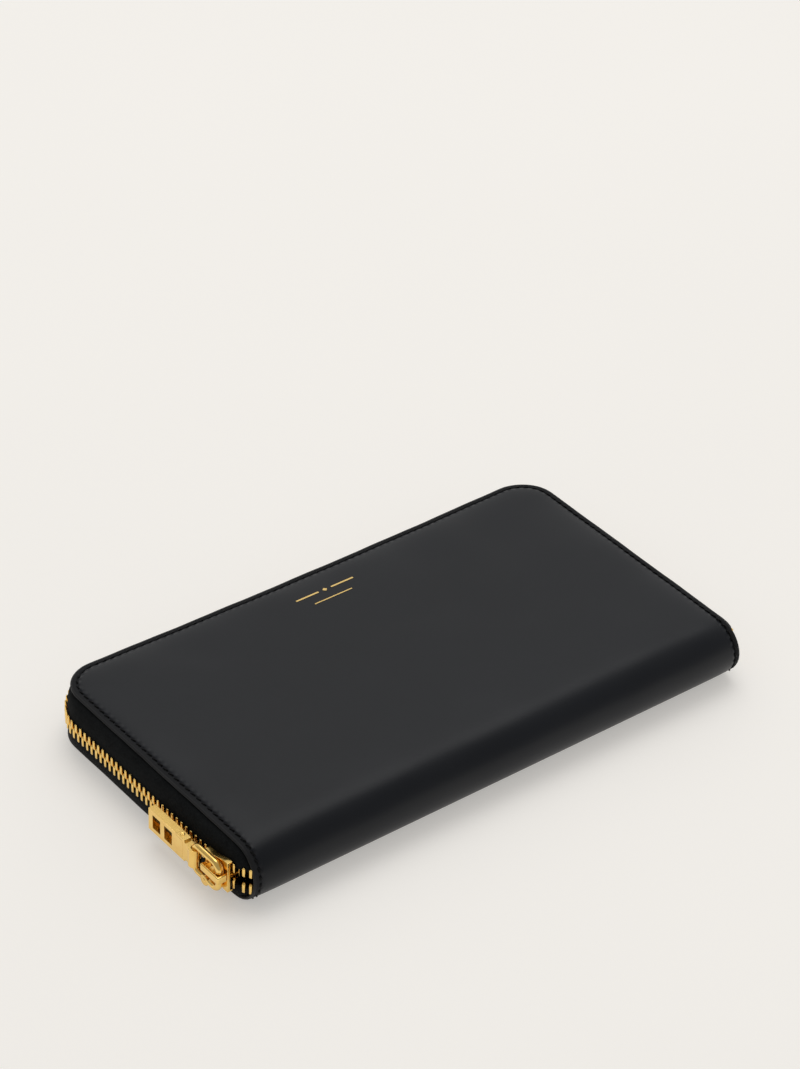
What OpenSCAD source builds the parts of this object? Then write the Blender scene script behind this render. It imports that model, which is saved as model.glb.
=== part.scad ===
// Continental zip-around wallet, closed and lying flat.
// X runs along the long side, the folded spine is at -Y, the long zip side at +Y, +Z is up.
// The origin is midway between the two ends, 55 mm in from the outside of the spine,
// on the face that it rests on.

/* [Wallet] */
// Length of the covers
wallet_l = 193.2; // [183:0.1:203]
// Width of the covers, from the outside of the spine to the long free edge
wallet_w = 109.1; // [105:0.1:115]
// Thickness of the closed wallet
wallet_t = 21.5; // [21:0.5:23]
// Radius of the two cover corners away from the spine
corner_r = 13.1; // [10:0.1:18]
// Thickness of the outer leather
leather_t = 1.2; // [1:0.1:1.4]
// Thickness of the stiffening board
board_t = 0.9; // [0.6:0.1:1]
// Thickness of the lining leather
lining_t = 0.5; // [0.4:0.1:0.6]

/* [Stitching] */
// Distance of the stitch line from the cover edge
stitch_inset = 2.2; // [1.8:0.1:3]
// Distance from one stitch to the next
stitch_pitch = 2.9; // [2.5:0.1:4]
// Thickness of the sewing thread
thread_t = 0.4; // [0.3:0.1:0.5]

/* [Main zip] */
// How far the middle of the chain stands outside the cover edge on the straight sides
chain_out = 2.3; // [1.9:0.1:2.6]
// Radius of the chain around the two corners
chain_r = 19; // [17:1:22]
// Distance between teeth on one tape
tooth_pitch = 2.5; // [2.4:0.1:2.7]
// Size of a tooth along the chain
tooth_w = 1.05; // [0.9:0.05:1.1]
// Thickness of the tape
tape_t = 0.5; // [0.4:0.1:0.5]
// Position of the slider along the left side
slider_y = -41; // [-42:0.5:-38]

/* [Pull] */
// Diameter of the link's round bar
link_bar_d = 2.2; // [1.8:0.1:2.4]
// Distance between the link's two end bars
link_l = 12.5; // [11:0.5:15]
// Width of the link
link_w = 11.8; // [10:0.2:12]
// Length of the pull from the link's far bar to its tip
pull_l = 22.5; // [18:0.5:28]
// Width of the fork's lugs and of the pull's frame
bar_w = 8.2; // [7:0.2:10]
// Thickness of the pull
pull_t = 2.6; // [2:0.1:3]

/* [Interior] */
// Thickness of the closed coin pocket
pocket_t = 4.2; // [3.8:0.1:4.4]
// Half length of the coin pocket
pocket_hx = 72; // [66:1:72]

/* [Hidden] */

$fn = 48;
eps = 0.02;
edge_x = wallet_l / 2;
back_y = -55;                         // outside of the spine
edge_y = back_y + wallet_w;
mid_z = wallet_t / 2;
spine_r = mid_z;                      // the spine is a half round of the full thickness
spine_y = back_y + spine_r;           // axis of the spine's half round

// layer heights of the lower half, from the resting face inwards
board_z = leather_t + 0.05;
lining_z = board_z + board_t + 0.05;
card_panel_z = lining_z + lining_t + 0.05;
card_panel_t = 0.5;
slot_z = card_panel_z + card_panel_t + 0.05;
slot_t = 0.55;
slot_step = 7.5;                      // how far each card slot stands above the one in front
divider_z = 7.2;
divider_t = 0.5;
panel_hx = 89;                        // half length of the card panels
panel_y0 = -43;                       // edge of the card panels at the spine
panel_y1 = 41;                        // edge of the card panels at the zip
board_inset = 4.1;                    // the board ends inside the turned and sewn edge
lining_inset = 3;                     // the lining ends inside the stitches at the sides
lining_free = 10.6;                   // and further from the edge at the zip, to clear the tape

// chain path: left straight, corner, long straight, corner, right straight
chain_x = edge_x + chain_out;
chain_y = edge_y + chain_out - 0.4;   // the long side's chain stands a little closer to its edge
turn_x = chain_x - chain_r;           // centres of the two chain corners
turn_y = chain_y - chain_r;
tuck_r = 12;                          // the chain tucks in behind the lip near the spine
tuck_y = -44;
tuck_angle = 40;
tooth_half = 1.2;                     // half thickness of a tooth, square to the tape
tooth_leg = 3.0;                      // from the middle of the chain to the tooth's outer end
tooth_tip = 0.6;                      // how far a tooth's head passes the middle
bead_h = 2.0;                         // the tape ends this far from the middle of the chain

// main slider
slider_len = 11.4;
plate_in = 1.6;                       // inner face of the slider plates, from the chain plane
plate_t = 1.05;
flange_in = 0.75;
flange_t = 0.6;
mouth_spread = 1.7;                   // how far each row is apart at the slider's mouth
crown_bar = 0.9;
link_axis_u = plate_in + plate_t + 0.25 + link_bar_d / 2;
link_axis_y = slider_y - 3.2;
pull_axis_y = link_axis_y + link_l;
link_x = -chain_x - link_axis_u;
link_z = mid_z - 0.9;                 // the loose link hangs a little below the chain's middle

// coin zip
coin_y = 38;                          // chain plane of the coin zip
coin_z = mid_z;
coin_pitch = 2.0;
coin_scale = 0.68;
coin_x0 = -64;                        // far end of the coin chain
coin_slider_x = 60;                   // slider at rest, with the coin zip closed
coin_slider_len = 7.6;
coin_plate_in = 1.1;                  // inner face of the coin slider's plates, from the chain plane
coin_plate_t = 0.7;
coin_pull_u = coin_plate_in + coin_plate_t;   // outer face of the coin slider's plate

leather = [0.13, 0.13, 0.14];
lining_colour = [0.17, 0.16, 0.16];
tape_colour = [0.07, 0.07, 0.08];
gold = [0.87, 0.68, 0.33];

// ---------- general shapes ----------

// mirrors its children from the lower half to the upper half
module upper_half() {
    translate([0, 0, wallet_t]) mirror([0, 0, 1]) children();
}

// flat sheet with square corners at the spine and round corners at the zip side
module sheet(hx, y0, y1, r, z0, t) {
    translate([0, 0, z0]) linear_extrude(t) union() {
        translate([-hx, y0]) square([2 * hx, y1 - r - y0]);
        translate([-hx + r, y1 - r - eps]) square([2 * (hx - r), r + eps]);
        for (s = [-1, 1]) translate([s * (hx - r), y1 - r]) circle(r);
    }
}

// quarter round of the spine on the lower half, from radius r0 to r1
module spine_quarter(hx, r0, r1) {
    translate([-hx, spine_y, mid_z]) rotate([90, 0, 90]) linear_extrude(2 * hx) intersection() {
        difference() {
            circle(r1, $fn = 96);
            circle(r0, $fn = 96);
        }
        translate([-r1 - 1, -r1 - 1]) square([r1 + 1 + eps, r1 + 1]);
    }
}

// one layer of the lower half with its part of the spine
module half_layer(hx, y1, r, z0, t) {
    sheet(hx, spine_y, y1, r, z0, t);
    spine_quarter(hx, spine_r - z0 - t, spine_r - z0);
}

// ---------- stitching ----------

stitch_x = edge_x - stitch_inset;
stitch_y = edge_y - stitch_inset;
stitch_r = corner_r - stitch_inset;
side_run = stitch_y - stitch_r - spine_y;
long_run = 2 * (stitch_x - stitch_r);

// square-section groove along the stitch line, open to the resting face
module stitch_groove(w, d) {
    for (s = [-1, 1]) {
        translate([s * stitch_x - w / 2, spine_y, -1]) cube([w, side_run, d + 1]);
        translate([s * (stitch_x - stitch_r), stitch_y - stitch_r, -1])
            rotate([0, 0, s < 0 ? 90 : 0])
                rotate_extrude(angle = 90) translate([stitch_r - w / 2, 0]) square([w, d + 1]);
    }
    translate([-long_run / 2, stitch_y - w / 2, -1]) cube([long_run, w, d + 1]);
}

// one stitch: a short length of thread lying in the groove
module stitch() {
    translate([-stitch_pitch * 0.36, 0, 0.05 + thread_t / 2]) rotate([0, 90, 0])
        cylinder(d = thread_t, h = stitch_pitch * 0.72, $fn = 16);
}

module stitches() {
    n_side = floor(side_run / stitch_pitch);
    n_long = floor(long_run / stitch_pitch);
    n_turn = round(stitch_r * PI / 2 / stitch_pitch);
    for (s = [-1, 1], i = [0 : n_side - 1])
        translate([s * stitch_x, spine_y + (i + 0.5) * side_run / n_side, 0])
            rotate([0, 0, 90]) stitch();
    for (i = [0 : n_long - 1])
        translate([-long_run / 2 + (i + 0.5) * long_run / n_long, stitch_y, 0]) stitch();
    for (s = [-1, 1], i = [0 : n_turn - 1]) {
        a = (i + 0.5) * 90 / n_turn;
        translate([s * (stitch_x - stitch_r + stitch_r * cos(a)),
                   stitch_y - stitch_r + stitch_r * sin(a), 0])
            rotate([0, 0, s * (a + 90)]) scale(0.85) stitch();
    }
}

// ---------- covers ----------

module cover() {
    difference() {
        half_layer(edge_x, edge_y, corner_r, 0, leather_t);
        stitch_groove(thread_t + 0.4, thread_t + 0.15);
    }
}

module board() {
    sheet(edge_x - board_inset, spine_y + 1, edge_y - board_inset, corner_r - board_inset, board_z, board_t);
}

module lining() {
    half_layer(edge_x - lining_inset, edge_y - lining_free, corner_r - lining_inset - 0.1, lining_z, lining_t);
}

// ---------- main zip ----------

// tape section in the plane (outwards, up): sewn flange, slope and upright web
function tape_section(top) = [
    [-4.4, leather_t + 0.06], [-2.4, leather_t + 0.06], [tape_t / 2, 4.6], [tape_t / 2, top],
    [-tape_t / 2, top], [-tape_t / 2, 4.85], [-2.65, leather_t + 0.06 + tape_t],
    [-4.4, leather_t + 0.06 + tape_t]
];

// the tape is a row of lengths, each a hair short of the next
module tape_straight(len, top) {
    translate([0, -eps, 0]) rotate([90, 0, 0]) linear_extrude(len - 2 * eps) polygon(tape_section(top));
}

module tape_turn(r, a, top) {
    rotate_extrude(angle = a, $fn = 96) translate([r, 0]) polygon(tape_section(top));
}

// tape end that turns in behind the lip and stays inside the spine's leather
module tape_tuck(top) {
    inner_r = spine_r - leather_t - 0.05;
    intersection() {
        translate([chain_x - tuck_r, tuck_y, 0]) rotate([0, 0, -tuck_angle])
            rotate_extrude(angle = tuck_angle - 0.1, $fn = 96)
                translate([tuck_r - tape_t / 2, 2]) square([tape_t, top - 2]);
        translate([0, spine_y, mid_z]) rotate([0, 90, 0]) cylinder(r = inner_r, h = 2 * chain_x, $fn = 96);
    }
}

module main_tape() {
    top = mid_z - bead_h;
    low_top = top - mouth_spread;
    mouth_y = slider_y + 1.5;
    translate([chain_x, turn_y, 0]) tape_straight(turn_y - tuck_y, top);
    translate([-chain_x, mouth_y, 0]) rotate([0, 0, 180]) tape_straight(turn_y - mouth_y, top);
    translate([-chain_x, tuck_y, 0]) rotate([0, 0, 180]) tape_straight(mouth_y - tuck_y, low_top);
    for (s = [0, 1]) mirror([s, 0, 0]) {
        translate([turn_x, turn_y, 0]) tape_turn(chain_r, 90, top);
        tape_tuck(s == 0 ? top : low_top);
    }
    translate([-turn_x, chain_y, 0]) rotate([0, 0, 90]) tape_straight(2 * turn_x, top);
}

// section of one tooth in the plane (outwards, up), with a slot that holds the tape
tooth_section = [
    [-tooth_half, -tooth_leg], [-tape_t / 2 - 0.02, -tooth_leg], [-tape_t / 2 - 0.02, 0.02 - bead_h],
    [tape_t / 2 + 0.02, 0.02 - bead_h], [tape_t / 2 + 0.02, -tooth_leg], [tooth_half, -tooth_leg],
    [tooth_half, -0.2], [0.75, tooth_tip], [-0.75, tooth_tip], [-tooth_half, -0.2]
];

// one tooth of the lower row, standing across the X direction of travel
module tooth() {
    translate([0, tooth_w / 2, 0]) rotate([90, 0, 0]) linear_extrude(tooth_w) polygon(tooth_section);
}

turn_len = chain_r * PI / 2;
long_len = 2 * turn_x;
side_len = turn_y - tuck_y;
// place on the chain for a distance along it from the start of the left corner
function chain_point(s) =
    s < 0 ? [-chain_x, turn_y + s, 180]
    : s < turn_len ? let (a = 180 - s / chain_r * 180 / PI)
        [-turn_x + chain_r * cos(a), turn_y + chain_r * sin(a), a]
    : s < turn_len + long_len ? [-turn_x + s - turn_len, chain_y, 90]
    : s < 2 * turn_len + long_len ? let (a = 90 - (s - turn_len - long_len) / chain_r * 180 / PI)
        [turn_x + chain_r * cos(a), turn_y + chain_r * sin(a), a]
    : [chain_x, turn_y - (s - 2 * turn_len - long_len), 0];

chain_len = 2 * turn_len + long_len + side_len;

// teeth from distance s0 to s1 along the chain; shift moves the row by part of a pitch
module tooth_run(s0, s1, shift) {
    n = floor((s1 - s0) / tooth_pitch - shift);
    for (i = [0 : n]) {
        p = chain_point(s0 + (i + shift) * tooth_pitch);
        translate([p[0], p[1], mid_z]) rotate([0, 0, p[2]]) tooth();
    }
}

// how far a row stands from the middle inside the slider, w measured from the slider's middle
function spread(w) = w > 1.5 ? 0 : min(mouth_spread, (1.5 - w) * mouth_spread / 7);

// the row on the left side: meshed above the slider, parting inside it and open below it
module slider_side_run(shift) {
    for (i = [0 : 37]) {
        y = turn_y - (i + 0.5 + shift) * tooth_pitch;
        d = spread(y - slider_y);
        if (y > tuck_y) translate([-chain_x, y, mid_z - d]) rotate([0, 0, 180]) tooth();
    }
    for (i = [0 : 1]) {
        a = 180 + 13 + 16 * i;
        translate([-chain_x + tuck_r + tuck_r * cos(a), tuck_y + tuck_r * sin(a), mid_z - mouth_spread])
            rotate([0, 0, a]) tooth();
    }
}

stop_l = 2.4;
stop_h = 4.4;
// a closed block clamped over the cord at the right end, and a last tooth at the left end
module zip_stops() {
    translate([chain_x - tooth_half - 0.1, tuck_y - 0.6 - stop_l, mid_z - 0.2 - stop_h])
        difference() {
            cube([2 * tooth_half + 0.2, stop_l, stop_h]);
            translate([tooth_half + 0.1 - 0.8, -1, -1]) cube([1.2, stop_l + 2.6, stop_h - 0.7]);
        }
    a = 180 + tuck_angle - 1;
    translate([-chain_x + tuck_r + tuck_r * cos(a), tuck_y + tuck_r * sin(a), mid_z - mouth_spread])
        rotate([0, 0, a]) tooth();
}

// ---------- interior of one half ----------

module card_panel() {
    sheet(panel_hx, panel_y0, panel_y1, 4, card_panel_z, card_panel_t);
}

// card slot k lies over the slots behind it and ends lower than they do
module card_slot(k) {
    top = panel_y1 - 6 - k * slot_step;
    sheet(panel_hx - 1, panel_y0, top, 1.5, slot_z + (k - 1) * (slot_t + 0.05), slot_t);
}

module bill_divider() {
    sheet(pocket_hx, panel_y0 + 2, coin_y - 3, 8, divider_z, divider_t);
}

gusset_t = 0.4;
gusset_top = 28;                      // edge of the gussets at the zip side
// fold lines of one gusset's lower half, from the card panel's edge to the pocket's end
gusset_folds = [[91.5, card_panel_z], [91.5, 6.2], [78.5, 6.75], [90.5, 7.6], [pocket_hx + 0.8, 8.7]];

// direction of a vector, and the direction a quarter turn to its left
function unit(v) = v / norm(v);
function left_of(v) = [-v[1], v[0]];

// one side (1 left, -1 right) of a folded strip at fold i: mitred inside the fold, blunt outside it
function fold_side(p, i, side) =
    let (h = gusset_t / 2,
         a = unit(i == 0 ? p[1] - p[0] : p[i] - p[i - 1]),
         b = unit(i == len(p) - 1 ? p[i] - p[i - 1] : p[i + 1] - p[i]),
         turn = a[0] * b[1] - a[1] * b[0])
    turn * side >= 0 ? [p[i] + side * h * left_of(a + b) / (1 + a * b)]
        : [p[i] + side * h * left_of(a), p[i] + h * unit(a - b), p[i] + side * h * left_of(b)];

function folded_outline(p) = concat(
    [for (i = [0 : len(p) - 1]) each fold_side(p, i, 1)],
    [for (i = [len(p) - 1 : -1 : 0], q = [fold_side(p, i, -1)], k = [len(q) - 1 : -1 : 0]) q[k]]);

module gusset() {
    translate([0, gusset_top, 0]) rotate([90, 0, 0]) linear_extrude(gusset_top - panel_y0)
        polygon(folded_outline(gusset_folds));
}

// ---------- coin pocket ----------

pocket_wall_t = 0.8;
module pocket_wall() {
    sheet(pocket_hx, panel_y0 + 2, coin_y - 2.1, 3, mid_z - pocket_t / 2, pocket_wall_t);
}

// strip that ties the pocket to the spine, with a filler between the two walls
module pocket_spine_strip() {
    gap = pocket_t - 2 * pocket_wall_t - 0.06;
    color(leather) {
        translate([-pocket_hx, panel_y0 - 7.5, mid_z - 0.35]) cube([2 * pocket_hx, 10, 0.7]);
        translate([-pocket_hx, panel_y0 + 2, mid_z - gap / 2]) cube([2 * pocket_hx, 3, gap]);
    }
}

// section of one coin tape: sewn to the outside of the wall, it stands clear of the slider's plate
// and comes back through the slider's slot to the teeth; edge is where it ends in the teeth
function coin_tape_section(edge) = [
    [coin_y - 7, -2.15], [coin_y - 2.4, -2.15], [coin_y - 2.05, -3.75], [coin_y - 0.15, -3.75],
    [coin_y - 0.15, -edge], [coin_y + 0.15, -edge], [coin_y + 0.15, -4.1], [coin_y - 2.35, -4.1],
    [coin_y - 2.75, -2.55], [coin_y - 7, -2.55]
];

// the tapes run parted beyond the slider at rest
coin_part_x = coin_slider_x - 1.8;
module coin_zip_tapes() {
    end_x = pocket_hx - 2;
    color(tape_colour) for (s = [0, 1]) translate([0, 0, coin_z]) mirror([0, 0, s]) rotate([90, 0, 90]) {
        translate([0, 0, -end_x]) linear_extrude(end_x + coin_part_x) polygon(coin_tape_section(1.5));
        translate([0, 0, coin_part_x + eps]) linear_extrude(end_x - coin_part_x - eps)
            polygon(coin_tape_section(2.65));
    }
}

module coin_tooth() {
    rotate([0, 0, 90]) scale(coin_scale) translate([0, tooth_w / 2, 0]) rotate([90, 0, 0])
        linear_extrude(tooth_w) polygon([
            [-tooth_half, -tooth_leg], [-0.36, -tooth_leg], [-0.36, -2.15], [0.36, -2.15],
            [0.36, -tooth_leg], [tooth_half, -tooth_leg], [tooth_half, -0.2], [0.75, tooth_tip],
            [-0.75, tooth_tip], [-tooth_half, -0.2]
        ]);
}

function coin_spread(w) = w < -1 ? 0 : min(1.1, (w + 1) * 0.24);

// teeth of both rows from x0 to x1, parting inside the slider and beyond it
module coin_run(x0, x1) {
    n = floor((x1 - x0) / coin_pitch);
    for (s = [0, 1], i = [0 : n]) {
        x = x0 + (i + s / 2) * coin_pitch;
        d = coin_spread(x - coin_slider_x);
        translate([x, coin_y, coin_z]) mirror([0, 0, s]) translate([0, 0, -d]) coin_tooth();
    }
}

module coin_zip_stops() {
    color(gold) for (s = [0, 1]) {
        translate([coin_x0 - 2.6, coin_y, coin_z]) mirror([0, 0, s])
            translate([-0.7, -0.8, -1.45]) cube([1.6, 1.6, 1.35]);
    }
}

// ---------- sliders ----------

// slider for a chain in the XZ plane: front at -X, pull side at +Y, chain middle at the origin.
// front and rear give the half widths inside the flanges, bridge the length of the post
module slider_shape(len, front, rear, in, pt, fl_in, ft, post_r) {
    h = len / 2;
    outline = [[-h, -front - ft], [-h, front + ft], [-h + 2, front + ft], [1.8, rear + ft],
               [h, rear + ft], [h, -rear - ft], [1.8, -rear - ft], [-h + 2, -front - ft]];
    rail = [[-h, front], [-h, front + ft], [-h + 2, front + ft], [1.8, rear + ft],
            [h, rear + ft], [h, rear], [1.8, rear], [-h + 2, front]];
    for (s = [0, 1]) mirror([0, s, 0]) {
        translate([0, in + pt, 0]) rotate([90, 0, 0]) linear_extrude(pt) polygon(outline);
        for (m = [0, 1]) mirror([0, 0, m]) translate([0, in + eps, 0]) rotate([90, 0, 0])
            linear_extrude(in - fl_in + eps) polygon(rail);
    }
    translate([-h + post_r + 0.1, in + eps, 0]) rotate([90, 0, 0]) cylinder(r = post_r, h = 2 * in + 2 * eps);
}

// crown: an arch along the travel, standing on the slider's outer plate
module crown_shape(len, w, foot, bar) {
    translate([-len / 2, 0, -w / 2]) difference() {
        cube([len, foot + bar, w]);
        translate([1.2, -1, -1]) cube([len - 2.4, foot + 1, w + 2]);
    }
}

// places a slider shape on the main chain: front towards the spine, pull side outwards
module on_main_chain() {
    translate([-chain_x, slider_y, mid_z]) rotate([0, 0, 90]) children();
}

// places a slider shape on the coin chain: front towards +X
module on_coin_chain() {
    translate([coin_slider_x, coin_y, coin_z]) mirror([1, 0, 0]) children();
}

// ---------- lower half ----------

module lower_cover() { color(leather) cover(); }
module lower_board() { color("dimgray") board(); }
module lower_lining() { color(lining_colour) lining(); }
module lower_stitching() { color("black") stitches(); }
module lower_zip_tape() { color(tape_colour) main_tape(); }
module lower_zip_teeth() { color(gold) tooth_run(0, chain_len, 0.5); }
module lower_slider_side_teeth() { color(gold) slider_side_run(0); }
module lower_zip_stops() { color(gold) zip_stops(); }
module lower_card_panel() { color(lining_colour) card_panel(); }
module lower_card_slot(k) { color(lining_colour) card_slot(k); }
module left_lower_gusset() { color(lining_colour) mirror([1, 0, 0]) gusset(); }
module right_lower_gusset() { color(lining_colour) gusset(); }

// ---------- upper half ----------

module upper_cover() { color(leather) upper_half() cover(); }
module upper_board() { color("dimgray") upper_half() board(); }
module upper_lining() { color(lining_colour) upper_half() lining(); }
module upper_stitching() { color("black") upper_half() stitches(); }
module upper_zip_tape() { color(tape_colour) upper_half() main_tape(); }
module upper_zip_teeth() { color(gold) upper_half() tooth_run(0, chain_len, 0); }
module upper_slider_side_teeth() { color(gold) upper_half() slider_side_run(0.5); }
module upper_zip_stops() { color(gold) upper_half() zip_stops(); }
module upper_card_panel() { color(lining_colour) upper_half() card_panel(); }
module upper_card_slot(k) { color(lining_colour) upper_half() card_slot(k); }
module left_upper_gusset() { color(lining_colour) upper_half() mirror([1, 0, 0]) gusset(); }
module right_upper_gusset() { color(lining_colour) upper_half() gusset(); }

foil_y = 41.3;
foil_t = 0.05;
// stamped ornament: a rule broken by a small lozenge, with a shorter rule below it
module foil_mark() {
    color(gold) translate([0, 0, wallet_t]) {
        for (s = [-1, 1]) translate([s * 7, foil_y, foil_t / 2]) cube([9, 0.7, foil_t], center = true);
        translate([0, foil_y, 0]) rotate([0, 0, 45]) translate([-0.9, -0.9, 0]) cube([1.8, 1.8, foil_t]);
        translate([0, foil_y - 4.8, foil_t / 2]) cube([15, 0.45, foil_t], center = true);
    }
}

// ---------- between the halves ----------

module lower_bill_divider() { color(lining_colour) bill_divider(); }
module upper_bill_divider() { color(lining_colour) upper_half() bill_divider(); }
module pocket_lower_wall() { color(leather) pocket_wall(); }
module pocket_upper_wall() { color(leather) upper_half() pocket_wall(); }
module coin_zip_teeth() { color(gold) coin_run(coin_x0, coin_x0 + 2 * coin_pitch); }
module coin_slider_side_teeth() { color(gold) coin_run(coin_x0 + 3 * coin_pitch, coin_slider_x + 6); }

module coin_slider_body() {
    color(gold) on_coin_chain()
        slider_shape(coin_slider_len, 3.2, 2.35, coin_plate_in, coin_plate_t, 0.32, 0.4, 0.35);
}

module coin_slider_crown() {
    color(gold) on_coin_chain() translate([0, coin_pull_u, 0]) crown_shape(5.4, 1.6, 1.7, 0.6);
}

coin_bar_r = 0.7;
coin_pull_l = 13;
// narrow drop pull of the coin zip, hanging from a round bar under the crown
module coin_pull() {
    color(gold) on_coin_chain() translate([0, coin_pull_u + 0.12 + coin_bar_r, 0]) {
        translate([0, 0, -2.4]) cylinder(r = coin_bar_r, h = 4.8, $fn = 24);
        for (s = [-1, 1]) translate([0, 0, s * 2.2]) rotate([0, 90, 0])
            cylinder(r = 0.6, h = 6.5, $fn = 24);
        translate([6, -0.6, -2.8]) cube([coin_pull_l - 6, 1.2, 5.6]);
    }
}

// ---------- main slider and pull ----------

module slider_body() {
    color(gold) on_main_chain() slider_shape(
        slider_len, tooth_leg + 0.35 + mouth_spread, tooth_leg + 0.35, plate_in, plate_t,
        flange_in, flange_t, 0.7);
}

module slider_crown() {
    color(gold) on_main_chain() translate([-1, plate_in + plate_t, 0])
        crown_shape(9.2, 2.6, 2.6, crown_bar);
}

// closed link of round bar: two end bars across the travel, two side bars along it
module pull_link() {
    r = link_bar_d / 2;
    half = link_w / 2 - r;
    turn = 1.6;
    color(gold) translate([link_x, link_axis_y, link_z]) rotate([0, 90, 0]) difference() {
        union() {
            for (e = [0, 1]) translate([0, e * link_l, 0]) mirror([0, e, 0]) {
                translate([-half + turn, 0, 0]) rotate([0, 90, 0]) cylinder(r = r, h = 2 * (half - turn));
                for (m = [0, 1]) mirror([m, 0, 0]) translate([half - turn, turn, 0]) rotate([0, 0, -90])
                    rotate_extrude(angle = 90) translate([turn, 0]) circle(r);
            }
            for (s = [-1, 1]) translate([s * half, turn, 0]) rotate([-90, 0, 0])
                cylinder(r = r, h = link_l - 2 * turn);
            // flat boss that carries the rivet, on the lower side bar
            translate([half, link_l / 2, 0]) cylinder(r = 1.9, h = link_bar_d + 0.1, center = true);
        }
        translate([half, link_l / 2, 0]) cylinder(r = rivet_bore, h = 2 * link_bar_d, center = true);
    }
}

module link_rivet() {
    half = link_w / 2 - link_bar_d / 2;
    color(gold) translate([link_x, link_axis_y + link_l / 2, link_z - half]) rotate([0, 90, 0])
        translate([0, 0, -link_bar_d / 2 - 0.25]) cylinder(r = rivet_r, h = link_bar_d + 0.5);
}

eye_r = 2.1;
eye_bore = link_bar_d / 2 + 0.07;
eye_w = link_w - 2 * link_bar_d - 0.8;
fork_l = 8;
fork_lug_t = 0.8;
fork_root = 4;                        // the lugs start this far from the pull's axis
fork_pin_y = 6.3;
rivet_r = 0.72;
rivet_bore = 0.75;
// eye around the link's far bar, with two lugs that hold the pull bar between them
module pull_fork() {
    color(gold) translate([link_x, pull_axis_y, link_z]) difference() {
        union() {
            translate([0, 0, -eye_w / 2]) cylinder(r = eye_r, h = eye_w);
            translate([-pull_t / 2, 1.2, -eye_w / 2]) cube([pull_t, 2.9, eye_w]);
            translate([-pull_t / 2, fork_root - 0.4, -bar_w / 2]) cube([pull_t, 1, bar_w]);
            for (s = [-1, 1]) translate([-pull_t / 2, fork_root, s * (bar_w - fork_lug_t) / 2 - fork_lug_t / 2])
                cube([pull_t, fork_l - fork_root, fork_lug_t]);
        }
        translate([0, 0, -eye_w]) cylinder(r = eye_bore, h = 2 * eye_w);
        translate([0, fork_pin_y, -bar_w]) cylinder(r = rivet_bore, h = 2 * bar_w);
    }
}

module fork_rivet() {
    color(gold) translate([link_x, pull_axis_y + fork_pin_y, link_z - bar_w / 2 - 0.25])
        cylinder(r = rivet_r, h = bar_w + 0.5);
}

// open frame with two windows and a thinner root that sits between the fork's lugs
module pull_bar() {
    root_w = bar_w - 2 * fork_lug_t - 0.04;
    frame_y = fork_l + 0.05;
    frame_l = pull_l - frame_y;
    stile = 2.1;
    rail = 1.6;
    window_l = (frame_l - 3 * stile) / 2;
    color(gold) translate([link_x, pull_axis_y, link_z]) difference() {
        union() {
            translate([-pull_t / 2, fork_root + 0.65, -root_w / 2]) cube([pull_t, fork_l - fork_root, root_w]);
            translate([-pull_t / 2, frame_y, -bar_w / 2]) cube([pull_t, frame_l, bar_w]);
        }
        for (i = [0, 1]) translate([-pull_t, frame_y + stile + i * (window_l + stile), -bar_w / 2 + rail])
            cube([2 * pull_t, window_l, bar_w - 2 * rail]);
        translate([0, fork_pin_y, -bar_w]) cylinder(r = rivet_bore, h = 2 * bar_w);
    }
}

lower_cover();
lower_board();
lower_lining();
lower_stitching();
lower_zip_tape();
lower_zip_teeth();
lower_slider_side_teeth();
lower_zip_stops();
lower_card_panel();
lower_card_slot(1);  // lower_card_slot_1
lower_card_slot(2);  // lower_card_slot_2
lower_card_slot(3);  // lower_card_slot_3
lower_card_slot(4);  // lower_card_slot_4
left_lower_gusset();
right_lower_gusset();
upper_cover();
upper_board();
upper_lining();
upper_stitching();
upper_zip_tape();
upper_zip_teeth();
upper_slider_side_teeth();
upper_zip_stops();
upper_card_panel();
upper_card_slot(1);  // upper_card_slot_1
upper_card_slot(2);  // upper_card_slot_2
upper_card_slot(3);  // upper_card_slot_3
upper_card_slot(4);  // upper_card_slot_4
left_upper_gusset();
right_upper_gusset();
foil_mark();
lower_bill_divider();
upper_bill_divider();
pocket_lower_wall();
pocket_upper_wall();
pocket_spine_strip();
coin_zip_tapes();
coin_zip_teeth();
coin_slider_side_teeth();
coin_zip_stops();
coin_slider_body();
coin_slider_crown();
coin_pull();
slider_body();
slider_crown();
pull_link();
link_rivet();
pull_fork();
fork_rivet();
pull_bar();
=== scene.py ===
"""Looks of the zip-around wallet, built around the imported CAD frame. Lengths below are in millimetres."""
import math

import bmesh
import bpy
import numpy as np
from mathutils import Matrix, Vector


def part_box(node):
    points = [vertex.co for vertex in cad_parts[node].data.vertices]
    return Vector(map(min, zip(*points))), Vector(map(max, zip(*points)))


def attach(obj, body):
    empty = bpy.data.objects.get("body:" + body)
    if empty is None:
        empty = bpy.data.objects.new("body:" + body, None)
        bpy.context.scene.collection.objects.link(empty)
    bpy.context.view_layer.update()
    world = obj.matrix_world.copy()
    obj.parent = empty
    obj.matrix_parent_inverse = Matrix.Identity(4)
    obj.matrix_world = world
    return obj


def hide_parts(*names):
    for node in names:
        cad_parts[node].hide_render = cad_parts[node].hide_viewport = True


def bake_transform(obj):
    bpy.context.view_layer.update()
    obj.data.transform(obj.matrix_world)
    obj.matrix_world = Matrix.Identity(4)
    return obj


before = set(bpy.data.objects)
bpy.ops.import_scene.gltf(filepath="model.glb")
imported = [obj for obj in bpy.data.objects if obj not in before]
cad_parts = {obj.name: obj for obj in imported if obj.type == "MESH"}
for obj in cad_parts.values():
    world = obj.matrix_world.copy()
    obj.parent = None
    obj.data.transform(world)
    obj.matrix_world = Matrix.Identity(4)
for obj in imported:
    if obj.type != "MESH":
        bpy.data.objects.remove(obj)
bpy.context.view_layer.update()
MM = 0.001


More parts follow.
